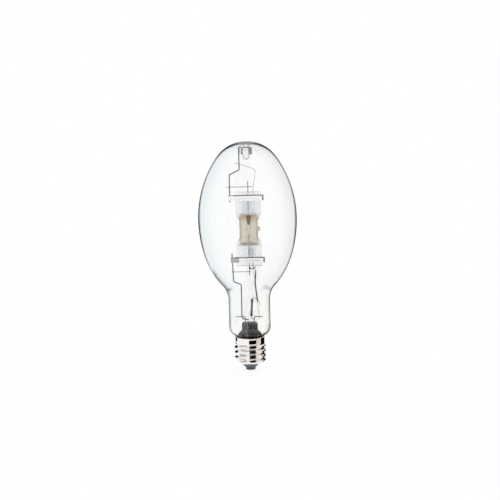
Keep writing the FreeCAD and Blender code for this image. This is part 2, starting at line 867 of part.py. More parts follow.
# Crosswires welded to the rods and to the leads of the arc tube
def crosswire(z, rod_x, left_x, right_x):
    """A straight wire in front of the rod and in front of the arc tube's lead."""
    rod_touch_y = strap_rod_y - rod_r - crosswire_r - weld_gap
    lead_touch_y = -(outer_lead_r + crosswire_r + weld_gap)
    slope = (lead_touch_y - rod_touch_y) / (tube_x - rod_x)
    start = point(left_x, lead_touch_y + slope * (left_x - tube_x), z)
    end = point(right_x, lead_touch_y + slope * (right_x - tube_x), z)
    return Part.makeCylinder(crosswire_r, (end - start).Length, start, end - start)


upper_crosswire_z = light_z + upper_crosswire_rise
lower_crosswire_z = light_z - lower_crosswire_drop
upper_cross_left_x = upper_rod_x - upper_crosswire_left
upper_cross = crosswire(upper_crosswire_z, upper_rod_x, upper_cross_left_x, upper_crosswire_right)
save("upper_crosswire", upper_cross)
rod_lean_share = (lower_crosswire_drop - strap_offset) / lower_rod_drop
lower_cross_x = lower_rod_x + lower_rod_lean * rod_lean_share
lower_cross_left_x = lower_cross_x - lower_crosswire_left
lower_cross = crosswire(lower_crosswire_z, lower_cross_x, lower_cross_left_x, lower_crosswire_right)
save("lower_crosswire", lower_cross)

# Return lead: from the upper rod down behind the arc tube to the right lead-in
return_y = strap_rod_y + rod_r + return_lead_r + weld_gap
return_foot_y = lead_in_r + return_lead_r + weld_gap
fall = light_z - right_lead_z
return_lead = bent_wire(
    [
        (clip_tab_x - return_overhang, return_y, clip_foot_z - return_start_drop),
        (clip_tab_x, return_y, clip_foot_z - return_start_drop - return_overhang * 0.2),
        (return_knee_x, return_y, clip_foot_z - return_knee_drop),
        (return_knee_x * 0.72, return_bow * 0.4, upper_crosswire_z),
        (return_knee_x * 0.45, return_bow * 0.8, light_z + upper_crosswire_rise / 2),
        (return_knee_x * 0.3, return_bow, light_z),
        (return_foot_x * 0.26, return_bow * 0.8, light_z - fall * 0.27),
        (return_foot_x * 0.5, return_bow * 0.4, light_z - fall * 0.5),
        (return_foot_x * 0.71, return_bow * 0.27, light_z - fall * 0.66),
        (return_foot_x * 0.82, return_bow * 0.13, light_z - fall * 0.81),
        (return_foot_x * 0.97, return_foot_y, right_lead_z + return_weld),
        (return_foot_x, return_foot_y, right_lead_z - return_weld),
    ],
    return_lead_d,
    return_lead_bend,
)
save("return_lead", return_lead)

# Starting circuit: splice, ribbon, resistor and its leads
splice_x = tube_x + probe_lead_x
splice_foot = point(splice_x, 0, splice_top_z - splice_length)
splice = Part.makeCylinder(splice_d / 2, splice_length, splice_foot)
save("probe_splice", splice)

resistor_foot_z = press_top_z + resistor_foot_rise
resistor_top_z = resistor_foot_z + resistor_length
ribbon_y = -0.5
ribbon_foot_z = resistor_top_z - ribbon_foot_drop
ribbon_top_z = splice_top_z - splice_length
ribbon_line = [
    (splice_x, ribbon_top_z),
    (splice_x - ribbon_width * 0.55, ribbon_top_z - ribbon_bend_drop),
    (ribbon_foot_x - ribbon_width * 0.35, ribbon_foot_z + ribbon_bend_drop * 0.4),
    (ribbon_foot_x, ribbon_foot_z),
]
ribbon_spots = []
for x, z in ribbon_line:
    ribbon_spots.append(point(x - ribbon_width / 2, ribbon_y, z))
for x, z in ribbon_line[::-1]:
    ribbon_spots.append(point(x + ribbon_width / 2, ribbon_y, z))
ribbon = extrude_flat(ribbon_spots, point(0, ribbon_thickness, 0))
save("probe_ribbon", ribbon)

resistor_y = ribbon_y - resistor_lead_d / 2 - weld_gap
resistor_top = point(resistor_top_x, resistor_y, resistor_top_z)
resistor_foot = point(resistor_foot_x, resistor_y, resistor_foot_z)
along = resistor_foot - resistor_top
length = along.Length
body = Part.makeCylinder(resistor_d / 2, length, resistor_top, along)
unit = along.normalize()
for start in (resistor_top, resistor_foot - unit * resistor_cap_length):
    cap = Part.makeCylinder(resistor_cap_d / 2, resistor_cap_length, start, unit)
    cap = cap.makeFillet(resistor_cap_d * 0.15, [cap.Edges[0], cap.Edges[2]])
    body = body.fuse(cap)
save("starting_resistor", body.removeSplitter())

upper_lead_run = upper_lead_x - resistor_top_x
upper_lead = bent_wire(
    [
        tuple(resistor_top),
        tuple(resistor_top - unit * resistor_lead_run),
        (resistor_top_x + upper_lead_run * 0.36, resistor_y, resistor_top_z + resistor_lead_run * 0.8),
        (resistor_top_x + upper_lead_run * 0.7, resistor_y, resistor_top_z - upper_lead_drop * 0.28),
        (resistor_top_x + upper_lead_run * 0.93, resistor_y, resistor_top_z - upper_lead_drop * 0.56),
        (upper_lead_x, resistor_y, resistor_top_z - upper_lead_drop),
    ],
    resistor_lead_d,
    resistor_lead_bend,
)
save("resistor_upper_lead", upper_lead)
lower_lead = bent_wire(
    [
        tuple(resistor_foot),
        tuple(resistor_foot + unit * resistor_lead_run * 0.85),
        (lower_lead_x * 0.48, resistor_y, resistor_foot_z - lower_lead_drop * 0.8),
        (lower_lead_x, resistor_y, resistor_foot_z - lower_lead_drop),
    ],
    resistor_lead_d,
    resistor_lead_bend,
)
save("resistor_lower_lead", lower_lead)

# Bimetal: a collar on the lower lead and a leaf that swings to the probe lead when hot
bimetal_z = light_z - seal_end - 4.3
collar_inner = outer_lead_r + bimetal_gap
collar = ring(collar_inner, collar_inner + collar_wall, bimetal_z, bimetal_z + bimetal_height)
leaf_height = bimetal_height / 2
leaf_line = [
    (collar_inner + collar_wall / 2, bimetal_z),
    (bimetal_reach * 0.27, bimetal_z - 0.4),
    (bimetal_reach, bimetal_z + 2.6),
]
leaf_spots = [point(x, -bimetal_thickness / 2, z) for x, z in leaf_line]
leaf_spots += [point(x, -bimetal_thickness / 2, z + leaf_height) for x, z in leaf_line[::-1]]
leaf = extrude_flat(leaf_spots, point(0, bimetal_thickness, 0))
hole = Part.makeCylinder(collar_inner, 3 * bimetal_height, point(0, 0, bimetal_z - bimetal_height))
bimetal = collar.fuse(leaf).cut(hole)
bimetal.rotate(point(0, 0, 0), point(0, 0, 1), -bimetal_rest)
save("bimetal_strip", off_axis(bimetal))
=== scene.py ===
# %% [markdown]
# # A clear metal halide lamp
# The lamp is a sealed glass bulb on a screw cap. Inside it, a frame of wires and straps holds a small quartz
# tube, which is where the light comes from. Nearly everything is glass or bright metal, so most of this
# lesson is about how such surfaces are drawn against white.
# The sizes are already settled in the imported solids. This script loads them, gives each one a finish, and
# builds anew the pieces whose real shape is a screw line: the thread of the cap and the two coils.

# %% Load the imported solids
import math

import bpy
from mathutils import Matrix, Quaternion, Vector


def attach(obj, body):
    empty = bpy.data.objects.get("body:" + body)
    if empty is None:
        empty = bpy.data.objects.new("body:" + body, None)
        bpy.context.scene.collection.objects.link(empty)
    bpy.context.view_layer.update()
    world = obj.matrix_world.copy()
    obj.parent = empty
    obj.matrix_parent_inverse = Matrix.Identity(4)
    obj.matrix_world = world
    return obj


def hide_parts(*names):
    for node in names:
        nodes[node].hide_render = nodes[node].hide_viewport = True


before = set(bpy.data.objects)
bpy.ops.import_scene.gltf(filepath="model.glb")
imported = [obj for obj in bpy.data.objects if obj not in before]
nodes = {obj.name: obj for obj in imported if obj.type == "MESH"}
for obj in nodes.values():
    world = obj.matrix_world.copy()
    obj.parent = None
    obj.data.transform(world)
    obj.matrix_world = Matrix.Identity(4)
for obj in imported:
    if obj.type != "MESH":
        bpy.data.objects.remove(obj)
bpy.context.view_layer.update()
MM = 0.001

# %% [markdown]
# ## Camera
# The photograph looks slightly down on the lamp from a little over two metres, with a long lens, and the
# lamp leans a touch to the left in the picture. A lean of the whole picture is a roll of the camera about
# its own axis, so the lamp itself stays upright.

# %% Camera
CAMERA_TILT = math.radians(9.6)
CAMERA_DISTANCE = 2.3
CAMERA_ROLL = math.radians(-1.3)
CAMERA_LENS = 133.3
AIM = Vector((2.25, 0.0, 151.4)) * MM

back = Vector((0.0, -math.cos(CAMERA_TILT), math.sin(CAMERA_TILT)))
camera_data = bpy.data.cameras.new("camera")
camera_data.lens = CAMERA_LENS
camera_data.clip_end = 20.0
camera = bpy.data.objects.new("camera", camera_data)
bpy.context.scene.collection.objects.link(camera)
camera.location = AIM + back * CAMERA_DISTANCE
camera.rotation_mode = "QUATERNION"
camera.rotation_quaternion = (-back).to_track_quat("-Z", "Y") @ Quaternion((0, 0, 1), CAMERA_ROLL)
bpy.context.scene.camera = camera
bpy.context.scene.view_settings.view_transform = "Standard"

# %% [markdown]
# ## Expressions for node trees
# A node tree is easier to read as a formula. The class below wraps one output of a node and gives it the
# usual signs, so that `1 - mask * 0.5` adds two Math nodes. Every other node comes from one method, which
# sets the node's own settings first and then its sockets.

# %% Expressions for node trees
class Wire:
    """One output of a node, with the usual signs for numbers."""

    def __init__(self, graph, socket):
        self.graph = graph
        self.socket = socket

    def math(self, operation, *others):
        sockets = dict(enumerate((self, *others)))
        return self.graph.node("ShaderNodeMath", {"operation": operation}, sockets)

    def __add__(self, other):
        return self.math("ADD", other)

    def __sub__(self, other):
        return self.math("SUBTRACT", other)

    def __mul__(self, other):
        return self.math("MULTIPLY", other)

    def __truediv__(self, other):
        return self.math("DIVIDE", other)

    def __pow__(self, other):
        return self.math("POWER", other)

    def __gt__(self, other):
        return self.math("GREATER_THAN", other)

    def __lt__(self, other):
        return self.math("LESS_THAN", other)

    def __abs__(self):
        return self.math("ABSOLUTE")

    def __radd__(self, other):
        return self + other

    def __rmul__(self, other):
        return self * other

    def __rsub__(self, other):
        return self.graph.node("ShaderNodeMath", {"operation": "SUBTRACT"}, {0: other, 1: self})

    def limited(self):
        """The value, kept from 0 to 1."""
        return self.math("MINIMUM", 1.0).math("MAXIMUM", 0.0)

    def rise(self, low, high):
        """0 below low, 1 above high, and a smooth step between them."""
        settings = {"interpolation_type": "SMOOTHSTEP"}
        return self.graph.node("ShaderNodeMapRange", settings, {"Value": self, 1: low, 2: high})

    def bump_near(self, middle, half):
        """1 at the middle, falling smoothly to 0 a half width away."""
        return 1 - abs(self - middle).rise(0.0, half)


class Graph:
    """A node tree of a material, a world or a mesh, to which nodes are added."""

    def __init__(self, tree):
        self.tree = tree

    def node(self, kind, settings=None, sockets=None, out=0):
        made = self.tree.nodes.new(kind)
        for name, value in (settings or {}).items():
            if name == "stops":
                ramp = made.color_ramp.elements
                while len(ramp) < len(value):
                    ramp.new(1.0)
                for element, (place, colour) in zip(ramp, value):
                    element.position = place
                    element.color = (*colour, 1.0)
            else:
                setattr(made, name, value)
        for name, value in (sockets or {}).items():
            socket = made.inputs[name]
            if isinstance(value, Wire):
                self.tree.links.new(value.socket, socket)
            elif hasattr(socket.default_value, "__len__") and len(socket.default_value) == 4:
                socket.default_value = (*value, 1.0)
            else:
                socket.default_value = value
        return Wire(self, made.outputs[out]) if len(made.outputs) else None


print("Wire and Graph are ready")

# %% [markdown]
# ## Patterns that finishes share
# Each finish reads the piece's own place in space, which is called its Object coordinates, so that a
# pattern stays put whatever the camera does. A few readings come back in almost every finish: height,
# distance from the lamp's axis, and soft noise that can be stretched along one axis.

# %% Patterns that finishes share
WHITE = (1.0, 1.0, 1.0)


class Finish(Graph):
    """A new material, with the readings that the finishes of this lamp share."""

    def __init__(self, name):
        self.material = bpy.data.materials.new(name)
        self.material.use_nodes = True
        super().__init__(self.material.node_tree)
        self.tree.nodes.clear()
        self.place = self.node("ShaderNodeTexCoord", out="Object")
        self.x = self.node("ShaderNodeSeparateXYZ", None, {0: self.place}, "X") / MM
        self.y = self.node("ShaderNodeSeparateXYZ", None, {0: self.place}, "Y") / MM
        self.z = self.node("ShaderNodeSeparateXYZ", None, {0: self.place}, "Z") / MM

    def noise(self, size, detail=3.0, stretch=(1.0, 1.0, 1.0), seed=0.0):
        """Soft noise from 0 to 1, with patches of about the size given in mm."""
        scale = tuple(1.0 / (size * MM * share) for share in stretch)
        spot = self.node("ShaderNodeMapping", None, {0: self.place, "Scale": scale, "Location": (seed,) * 3})
        return self.node("ShaderNodeTexNoise", None, {"Vector": spot, "Scale": 1.0, "Detail": detail})

    def mix(self, share, first, second):
        """A colour between two others."""
        return self.node("ShaderNodeMix", {"data_type": "RGBA"}, {0: share, 6: first, 7: second}, 2)

    def bump(self, height, depth):
        """Normals for a height from 0 to 1 that stands for a depth in mm."""
        return self.node("ShaderNodeBump", None, {"Strength": 1.0, "Distance": depth * MM, "Height": height})

    def outward(self):
        """1 on faces that look away from the lamp's axis, 0 on the inner face of a wall."""
        normal = self.node("ShaderNodeNewGeometry", out="Normal")
        across = self.node("ShaderNodeSeparateXYZ", None, {0: normal}, "X") * self.x
        deep = self.node("ShaderNodeSeparateXYZ", None, {0: normal}, "Y") * self.y
        turned = self.node("ShaderNodeNewGeometry", out="Backfacing")
        return (across + deep) * (1 - turned * 2) > 0.0

    def facing(self):
        """0 where the surface faces the eye, 1 where it is seen edge on."""
        return self.node("ShaderNodeLayerWeight", None, {"Blend": 0.5}, "Facing")

    def surface(self, **sockets):
        """A Principled shader. Names of sockets are written with _ for a space."""
        named = {name.replace("_", " "): value for name, value in sockets.items()}
        return self.node("ShaderNodeBsdfPrincipled", None, named)

    def clear(self, tint):
        return self.node("ShaderNodeBsdfTransparent", None, {"Color": tint})

    def blend(self, share, first, second):
        """A shader between two others."""
        return self.node("ShaderNodeMixShader", None, {0: share, 1: first, 2: second})

    def done(self, shader):
        self.node("ShaderNodeOutputMaterial", None, {"Surface": shader})
        return self.material


finishes = {}

# %% [markdown]
# ## Clear glass
# A thin wall of clear glass hardly bends light, so it is drawn as a film: light goes straight through,
# less what the face mirrors. How much it mirrors grows from 4% face on to everything edge on, which is
# the fifth power below. At the rim the eye also looks along the wall, through a centimetre or two of
# glass, which bends and mirrors the darker room. The grey outline this gives is painted here, as a dark
# colour that grows edge on, stronger on the outer face than the inner.
# A line of constant darkness would be wide where the bulb is narrow. The line is given in mm of wall
# instead: on a circle, `start` is the facing value that lies so many mm inside the outline. It is widest
# at the belly, thin on the left of the neck, and faint at the dimple. A soft painted dark line marks the
# shoulder on the far side. The film's cool tint on the left and warm tint on the right are painted light:
# they stand for the cool and warm sides of the studio seen through the glass.
# These widths and tints were fitted to one photograph by trial. They are not measured properties of glass.

# %% Clear glass for the bulb
MIRRORED_FACE_ON = 0.04
PAINTED_OUTLINE_GREY = (0.012, 0.014, 0.015)
LINE_LEFT = 0.68
LINE_RIGHT = 1.0
LINE_UPPER = 1.05
LINE_EQUATOR = 1.95
EQUATOR_Z = 188.0
SHOULDER_Z = 262.0
DIMPLE_R = 9.0
PAINTED_COOL_CAST = (0.946, 0.961, 0.972)
PAINTED_WARM_CAST = (0.951, 0.949, 0.946)
PAINTED_NECK_COOL_CAST = (0.979, 0.987, 0.986)
PAINTED_NECK_WARM_CAST = (0.986, 0.989, 0.976)
BELLY_Z = 110.0
CREASE_Z = 100.0
CREASE_HALF = 3.4
RIM_Z = 42.0


def bulb_glass():
    f = Finish("bulb_glass")
    facing = f.facing()
    mirrored = MIRRORED_FACE_ON + facing ** 5 * (1 - MIRRORED_FACE_ON)
    radius = (f.x * f.x + f.y * f.y) ** 0.5
    to_right = f.x.rise(-10.0, 10.0)
    low_line = LINE_LEFT + to_right * (LINE_RIGHT - LINE_LEFT)
    seen_wall = low_line + (LINE_UPPER - low_line) * f.z.rise(BELLY_Z, BELLY_Z + 60.0)
    seen_wall = seen_wall + f.z.bump_near(EQUATOR_Z, 62.0) * (LINE_EQUATOR - LINE_UPPER)
    seen_wall = seen_wall + f.z.rise(SHOULDER_Z, SHOULDER_Z + 15.0) * 0.3
    start = 1 - (2 * seen_wall / radius.math("MAXIMUM", 3.0)) ** 0.5
    # Painted outline: the dark colour of the wall seen edge on, for the room that the glass bends and mirrors
    # there.
    line = facing.rise(start, start + 0.07)
    high = f.z.rise(SHOULDER_Z - 14.0, SHOULDER_Z - 10.0)
    dimple = (1 - radius.rise(DIMPLE_R, DIMPLE_R + 4.0)) * high * 0.8
    crown = (1 - radius.rise(9.0, 22.0)) * high * 0.6
    # Painted dark line at the shoulder, on the far side, toward the edges.
    painted_crease_line = f.z.bump_near(CREASE_Z, CREASE_HALF) * facing.rise(0.2, 0.5) * (f.y > 0.0) * 0.24
    edge = line * (0.3 + f.outward() * 0.62) * (1 - dimple.math("MAXIMUM", crown)) + painted_crease_line
    seeds = f.noise(9.0, 2.0, (1, 1, 4))
    rim = facing.rise(0.15, 0.75)
    # Painted light: a cool cast on the left and a warm one on the right, seen through the glass.
    tint = f.mix(to_right, PAINTED_COOL_CAST, PAINTED_WARM_CAST)
    painted_neck_cast = f.mix(to_right, PAINTED_NECK_COOL_CAST, PAINTED_NECK_WARM_CAST)
    tint = f.mix(rim, (0.995, 0.998, 0.998), tint)
    tint = f.mix(f.z.rise(BELLY_Z - 25.0, BELLY_Z), painted_neck_cast, tint)
    gloss = f.surface(Base_Color=WHITE, Metallic=1.0, Roughness=0.02 + seeds * 0.03)
    painted_outline_shader = f.surface(Base_Color=PAINTED_OUTLINE_GREY, Roughness=0.3, Specular_IOR_Level=0.0)
    above_rim = 0.25 + f.z.rise(RIM_Z, RIM_Z + 10.0) * 0.55
    film = f.blend(mirrored * above_rim, f.clear(tint), gloss)
    return f.done(f.blend(edge.limited(), film, painted_outline_shader))


finishes["bulb_glass"] = bulb_glass()

# %% [markdown]
# ## Glass of the stem
# The stem is thick glass right above the dark inside of the cap. It gathers that darkness and shows it in
# specks, nearly black at the rim of the cap and grey towards its top, with small sparks of light. These are
# painted: the specks are painted shade for the cap's dark inside seen through the glass, and the sparks are
# painted glints, on a mottled surface that lets a little light through, instead of tracing every bend of
# light in thick glass.

# %% Glass of the stem
STEM_TOP_Z = 60.0


def stem_glass():
    f = Finish("stem_glass")
    specks = f.noise(1.3, 6.0).rise(0.47, 0.62)
    painted_glints = f.noise(1.0, 3.0, (1, 1, 1), 5.0).rise(0.63, 0.74)
    clouds = f.noise(5.0, 3.0, (1, 1, 1.6), 3.0).rise(0.3, 0.7)
    height = f.z + (clouds - 0.5) * 3.0
    depth = height.rise(RIM_Z + 2.5, RIM_Z + 9.0)
    # Painted shade: nearly black at the rim of the cap, grey higher up.
    dark = f.mix(depth, (0.002, 0.001, 0.001), (0.035, 0.036, 0.034))
    pale = f.mix(clouds, (0.11, 0.115, 0.108), (0.26, 0.27, 0.255))
    colour = f.mix(specks * (0.06 + depth * 0.85), dark, pale)
    # Painted glints.
    colour = f.mix(painted_glints * depth * 0.7, colour, (0.40, 0.42, 0.38))
    glass = f.surface(
        Base_Color=colour, Roughness=0.12 + specks * 0.2, Specular_IOR_Level=0.15,
        Normal=f.bump(f.noise(1.4, 3.0), 0.3),
    )
    solid = 0.98 - f.z.rise(RIM_Z + 4.0, STEM_TOP_Z) * 0.16 + f.facing() * 0.1
    return f.done(f.blend(solid.limited(), f.clear((0.9, 0.93, 0.92)), glass))


finishes["stem_glass"] = stem_glass()

# %% [markdown]
# ## Quartz with what the arc leaves on it
# The arc tube is clear quartz. Its round chamber carries a film of the metal salts that evaporate when it
# runs: brown at the top, straw in the middle and olive where they settle. A dark V-shaped patch is drawn
# below the upper electrode. The flat seals are pressed while soft, which leaves fine upright streaks and a
# pale haze, with a blue-grey panel where the foil lies. Each patch is a mask made from a height or a distance
# in mm.

# %% Quartz with what the arc leaves on it
LIGHT_Z = 178.0
CHAMBER_TOP = 18.6
CHAMBER_FOOT = -21.2
CHAMBER_HALF = 12.6
TUBE_X = 1.3
TIP_FOOT = 12.9
TIP_HALF = 3.0
STRAP_AWAY = 39.0
PANEL_HALF = 8.0
DARK_V_FOOT = 6.4


def quartz():
    f = Finish("quartz")
    height = f.z - LIGHT_Z
    off = abs(f.x - TUBE_X)
    facing = f.facing()
    mirrored = MIRRORED_FACE_ON + facing ** 5 * (1 - MIRRORED_FACE_ON)
    streaks = f.noise(2.6, 4.0, (1, 1, 14))
    fine = f.noise(0.7, 2.0, (1, 1, 30), 7.0)
    wavy = height + streaks * 2.4
    in_chamber = 1 - height.rise(CHAMBER_TOP - 0.8, CHAMBER_TOP)
    in_chamber = in_chamber * height.rise(CHAMBER_FOOT, CHAMBER_FOOT + 0.8)
    in_chamber = in_chamber * (1 - off.rise(CHAMBER_HALF - 0.8, CHAMBER_HALF))
    top_band = wavy.rise(11.0, 14.0)
    low_band = 1 - wavy.rise(-18.5, -14.5)
    funnel = ((height - DARK_V_FOOT) * 0.21 + 1.7 - off).rise(0.0, 0.8)
    funnel = funnel * height.rise(DARK_V_FOOT - 0.8, DARK_V_FOOT + 0.8) * (height < CHAMBER_TOP - 1.0)
    straw = f.mix(streaks.rise(0.35, 0.65), (0.62, 0.53, 0.38), (0.86, 0.76, 0.55))
    straw = f.mix(f.x.rise(2.0, 8.0) * 0.6, straw, (0.78, 0.66, 0.55))
    film = f.mix(top_band * 0.8, straw, (0.62, 0.44, 0.20))
    film = f.mix(low_band * 0.85, film, (0.33, 0.31, 0.20))
    film = f.mix(funnel, film, (0.11, 0.07, 0.02))
    pressed = f.mix(fine.rise(0.3, 0.7), (0.66, 0.67, 0.68), (0.97, 0.97, 0.98))
    panel = 1 - off.rise(PANEL_HALF - 0.6, PANEL_HALF + 0.6)
    beyond = abs(height).rise(STRAP_AWAY - 2.0, STRAP_AWAY)
    pressed = f.mix(panel * (0.2 + streaks * 0.4), pressed, (0.55, 0.59, 0.68))
    colour = f.mix(in_chamber, pressed, film)
    right_side = f.x.rise(4.0, 10.0) * 0.09
    film_there = 0.18 + streaks * 0.22 + top_band * 0.12 + low_band * 0.25 + funnel * 0.7 + right_side
    haze_there = 0.13 + fine * 0.2 + panel * (0.1 + (height > 0.0) * 0.13) + right_side
    haze_there = haze_there * (1 - beyond * 0.65)
    # Painted shade: a dark line in the crease at the foot of the tip, on the right.
    tip_foot = off.bump_near(TIP_FOOT, 1.0) * (f.x > 0.0) * (abs(height) < TIP_HALF)
    on_tip = off.rise(TIP_FOOT, TIP_FOOT + 1.0) * (abs(height) < TIP_HALF)
    # Painted outline: grey along edges seen edge on, for what the quartz bends and mirrors there.
    painted_edge_line = facing.rise(0.55 - in_chamber * 0.17, 0.86 - in_chamber * 0.14) * (0.75 - on_tip * 0.35)
    outline = (painted_edge_line + tip_foot * 0.9).limited()
    colour = f.mix(outline, colour, f.mix(tip_foot, (0.13, 0.13, 0.125), (0.04, 0.04, 0.04)))
    cover = film_there * in_chamber + haze_there * (1 - in_chamber) + outline
    deposit = f.surface(Base_Color=colour, Roughness=0.35, Normal=f.bump(fine, 0.08))
    gloss = f.surface(Base_Color=WHITE, Metallic=1.0, Roughness=0.04 + fine * 0.05)
    film_glass = f.blend(mirrored * 0.8, f.clear((0.985, 0.985, 0.985)), gloss)
    return f.done(f.blend(cover.limited(), film_glass, deposit))


finishes["quartz"] = quartz()

# %% [markdown]
# ## Plated brass
# The screw shell is rolled from thin brass and plated with nickel. Rolling leaves faint lines round it, the
# plating is warm and a little cloudy, and a fine patchy line of painted shade darkens the root of the thread.
# The contact button below has the same plating, drawn nearly black and duller.

# %% Plated brass
CONTACT_TOP = 2.5
ROOT_R = 17.92
FIRST_ROOT_Z = 11.0


def plated_brass():
    f = Finish("plated_brass")
    radius = (f.x * f.x + f.y * f.y) ** 0.5
    rolled = f.noise(0.5, 3.0, (40, 40, 1))
    clouds = f.noise(6.0, 3.0)
    in_root = (1 - radius.rise(ROOT_R, ROOT_R + 0.2)) * f.z.rise(FIRST_ROOT_Z, FIRST_ROOT_Z + 2.0)
    # Painted shade in the root of the thread, in patches.
    painted_root_shade = in_root * clouds.rise(0.35, 0.6) * 0.75
    plate = f.mix(clouds, (0.91, 0.865, 0.84), (0.97, 0.94, 0.92))
    colour = f.mix(painted_root_shade, plate, (0.22, 0.18, 0.15))
    # The contact is drawn nearly black and duller.
    contact = f.z < CONTACT_TOP
    colour = f.mix(contact * 0.95, colour, (0.055, 0.052, 0.05))
    rough = 0.015 + clouds * 0.025 + painted_root_shade * 0.06 + contact * 0.25
    return f.done(f.surface(Base_Color=colour, Metallic=1.0, Roughness=rough, Normal=f.bump(rolled, 0.0006)))


finishes["plated_brass"] = plated_brass()

# %% [markdown]
# ## Metals of the mount
# The wires, rods and foils are drawn metal with fine lines along their length and slight clouds of oxide.
# One function makes them all: what differs is the colour, how dull it is and which way the lines run. What
# lies inside a seal is seen through hazy quartz, so a piece can be given a paler colour there.

# %% Metals of the mount
SEALED_AWAY = 34.4
ALONG_Z = (1.0, 1.0, 14.0)
ALONG_X = (14.0, 1.0, 1.0)


def drawn_metal(name, bright, dull, rough, grain=(1.0, 1.0, 1.0), sealed=None):
    f = Finish(name)
    clouds = f.noise(3.5, 4.0)
    lines = f.noise(0.35, 2.0, grain)
    colour = f.mix((clouds * 0.7 + lines * 0.3).rise(0.3, 0.7), dull, bright)
    if sealed:
        colour = f.mix(abs(f.z - LIGHT_Z) < SEALED_AWAY, colour, sealed)
    roughness = rough + clouds * 0.15
    return f.done(
        f.surface(Base_Color=colour, Metallic=1.0, Roughness=roughness, Normal=f.bump(lines, 0.01))
    )


finishes["nickel_wire"] = drawn_metal("nickel_wire", (0.20, 0.20, 0.21), (0.09, 0.09, 0.10), 0.22, ALONG_Z)
finishes["frame_steel"] = drawn_metal("frame_steel", (0.20, 0.195, 0.21), (0.09, 0.088, 0.10), 0.28, ALONG_Z)
finishes["tungsten"] = drawn_metal("tungsten", (0.26, 0.18, 0.10), (0.10, 0.07, 0.04), 0.35)
finishes["molybdenum"] = drawn_metal(
    "molybdenum", (0.22, 0.22, 0.24), (0.10, 0.10, 0.12), 0.3, ALONG_Z, sealed=(0.66, 0.68, 0.72)
)
finishes["bimetal"] = drawn_metal("bimetal", (0.17, 0.17, 0.18), (0.08, 0.08, 0.09), 0.32, ALONG_X)
finishes["solder"] = drawn_metal("solder", (0.62, 0.62, 0.64), (0.36, 0.36, 0.38), 0.3)

# %% [markdown]
# ## Straps
# The straps and the clip round the dimple are bright spring steel. The top edge and the right end of each
# strap are painted dark: painted shade where the strap curves over at the top and bends away at the end.
# Grey stripes run on the lower left tab, and dark and grey bands up both sides of the clip. Each mark is a
# mask made from x or z in mm.

# %% Straps
STRAP_HALF = 3.25
STRAP_END_X = 18.7
TAB_X = -11.5
TAB_LINES = 2.1
CLIP_FOOT = 270.9
CLIP_TOP = 279.7
CLIP_TAB_X = -8.0
DARK_SHADE_AND_MARKS = (0.07, 0.066, 0.066)
GREY_MARKS = (0.24, 0.24, 0.24)


def strap_steel():
    f = Finish("strap_steel")
    clouds = f.noise(4.0, 3.0, (3, 3, 1))
    upper = f.z > LIGHT_Z
    off = f.z - LIGHT_Z - STRAP_AWAY * (upper * 2 - 1)
    on_strap = abs(off) < STRAP_HALF + 0.1
    # Painted shade along the top edge of each strap, where it curves.
    top_edge = off.rise(STRAP_HALF - 0.9, STRAP_HALF - 0.3)
    # Painted shade on the bent right end of each strap.
    right_end = f.x > STRAP_END_X
    tab_line = (off * (2 * math.pi / TAB_LINES)).math("SINE").rise(-0.6, 0.9)
    tab = (f.x < TAB_X) * (1 - upper) * (0.55 + tab_line * 0.45)
    on_clip = f.z > CLIP_FOOT - 1.0
    left_band = f.x.bump_near(-5.1, 1.7) * 1.4
    right_band = f.x.rise(4.2, 4.9)
    clip_line = f.x.bump_near(3.7, 1.2) + (f.x < CLIP_TAB_X)
    clip_line = clip_line + f.z.rise(CLIP_TOP - 0.8, CLIP_TOP - 0.3) * 0.6
    clip_line = clip_line + f.z.bump_near(CLIP_TOP - 3.1, 0.8) * (abs(f.x) < 5.0) * 0.5
    bright = f.mix(clouds, (0.90, 0.90, 0.90), (0.98, 0.98, 0.97))
    grey = ((left_band + right_band) * on_clip + tab * on_strap).limited()
    dark = ((top_edge + right_end) * on_strap + clip_line * on_clip).limited()
    colour = f.mix(dark, f.mix(grey, bright, GREY_MARKS), DARK_SHADE_AND_MARKS)
    return f.done(f.surface(Base_Color=colour, Metallic=0.5, Roughness=0.2 + clouds * 0.16 + dark * 0.2))


finishes["strap_steel"] = strap_steel()

# %% [markdown]
# ## Insulator, cement and resistor
# The insulator is dark fused glass, slate blue and glossy, with painted shade darkening it towards the
# bottom. The cement is chalky and grainy. The resistor has a matt charcoal coat with darker caps and a few
# lighter specks.

# %% Insulator, cement and resistor
RESISTOR_Z = 78.6
RESISTOR_CAP_AWAY = 8.0


def insulator_glass():
    f = Finish("insulator_glass")
    swirls = f.noise(4.0, 4.0, (1.6, 1.6, 1))
    # Painted shade: darker towards the bottom, above the contact.
    low = 1 - f.z.rise(2.6, 7.0)
    colour = f.mix(swirls, (0.04, 0.055, 0.072), (0.08, 0.1, 0.125))
    colour = f.mix(low * 0.55, colour, (0.04, 0.05, 0.065))
    return f.done(f.surface(
        Base_Color=colour, Roughness=0.16 + swirls * 0.14, Specular_IOR_Level=0.3,
        Normal=f.bump(f.noise(1.1, 3.0), 0.05),
    ))


def cement():
    f = Finish("cement")
    grain = f.noise(0.5, 5.0)
    colour = f.mix(grain, (0.42, 0.38, 0.32), (0.66, 0.61, 0.53))
    return f.done(f.surface(Base_Color=colour, Roughness=0.9, Normal=f.bump(grain, 0.15)))


def resistor_coat():
    f = Finish("resistor_coat")
    grain = f.noise(0.45, 4.0)
    end = abs(f.z - RESISTOR_Z).rise(RESISTOR_CAP_AWAY - 0.4, RESISTOR_CAP_AWAY + 0.4)
    colour = f.mix(grain.rise(0.35, 0.8), (0.035, 0.033, 0.033), (0.12, 0.115, 0.11))
    colour = f.mix(end * 0.8, colour, (0.012, 0.012, 0.012))
    return f.done(f.surface(Base_Color=colour, Roughness=0.5, Normal=f.bump(grain, 0.05)))


finishes["insulator_glass"] = insulator_glass()
finishes["cement"] = cement()
finishes["resistor_coat"] = resistor_coat()
print("finishes:", len(finishes))

